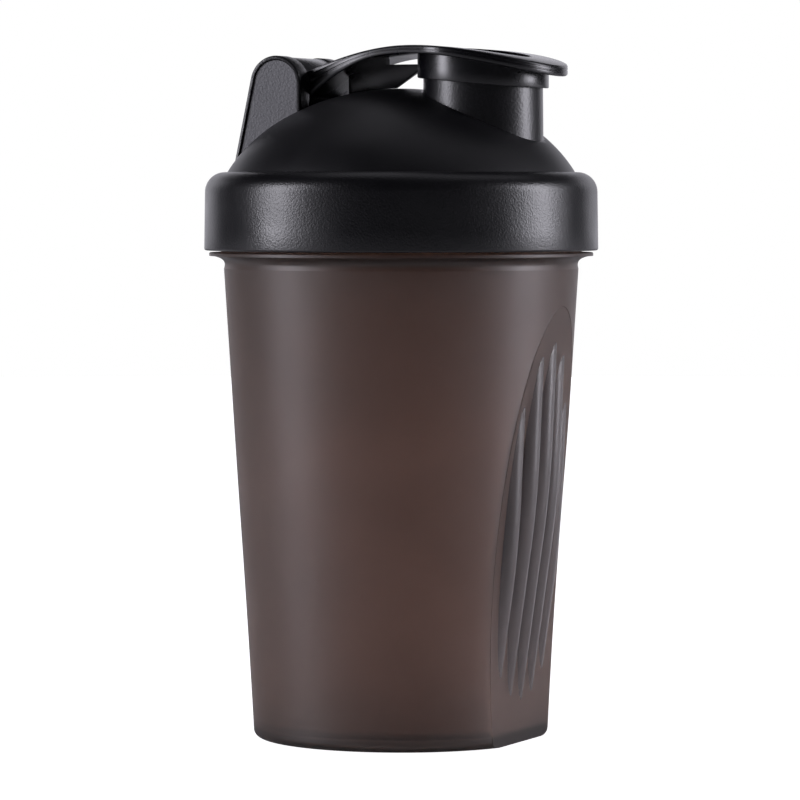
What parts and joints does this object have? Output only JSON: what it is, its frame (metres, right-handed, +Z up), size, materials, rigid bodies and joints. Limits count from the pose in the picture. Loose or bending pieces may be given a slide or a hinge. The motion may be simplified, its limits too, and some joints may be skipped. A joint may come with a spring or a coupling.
{
  "type": "protein shaker bottle",
  "caption": "Tapered shaker cup with ribbed side grips, screw-on domed lid and hinged flip cap over a round drinking spout.",
  "frame": {"origin": "centre of the base, at the level that the cup stands on", "axes": "+Z up the bottle's axis; +X from the hinge towards the drinking spout; +Y along the hinge pin"},
  "size_m": [0.095, 0.095, 0.1664],
  "materials": {
    "cup_smoke": "frosted translucent smoke",
    "grid_black": "satin",
    "seal_silicone": "matte",
    "lid_black": "fine-grained satin",
    "pin_black": "satin",
    "cap_black": "semi-gloss"
  },
  "bodies": {
    "cup": {"cup": "cup_smoke", "mixing_grid": "grid_black"},
    "seal": {"lid_seal": "seal_silicone"},
    "lid": {"lid": "lid_black", "hinge_pin": "pin_black"},
    "cap": {"flip_cap": "cap_black"}
  },
  "joints": [
    {"name": "lid_rise", "type": "slide", "parent": "cup", "child": "seal", "axis": [0, 0, 1], "range_m": [0, 0.0151]},
    {"name": "lid_turn", "type": "hinge", "parent": "seal", "child": "lid", "pos_m": [0, 0, 0.1176], "axis": [0, 0, 1], "range_deg": [0, 900]},
    {"name": "cap_flip", "type": "hinge", "parent": "lid", "child": "cap", "pos_m": [-0.0268, 0, 0.1577], "axis": [0, -1, 0], "range_deg": [0, 125]}
  ],
  "couplings": [
    {"joint": "lid_rise", "follows": "lid_turn", "m_per_rad": 0.00095493}
  ]
}
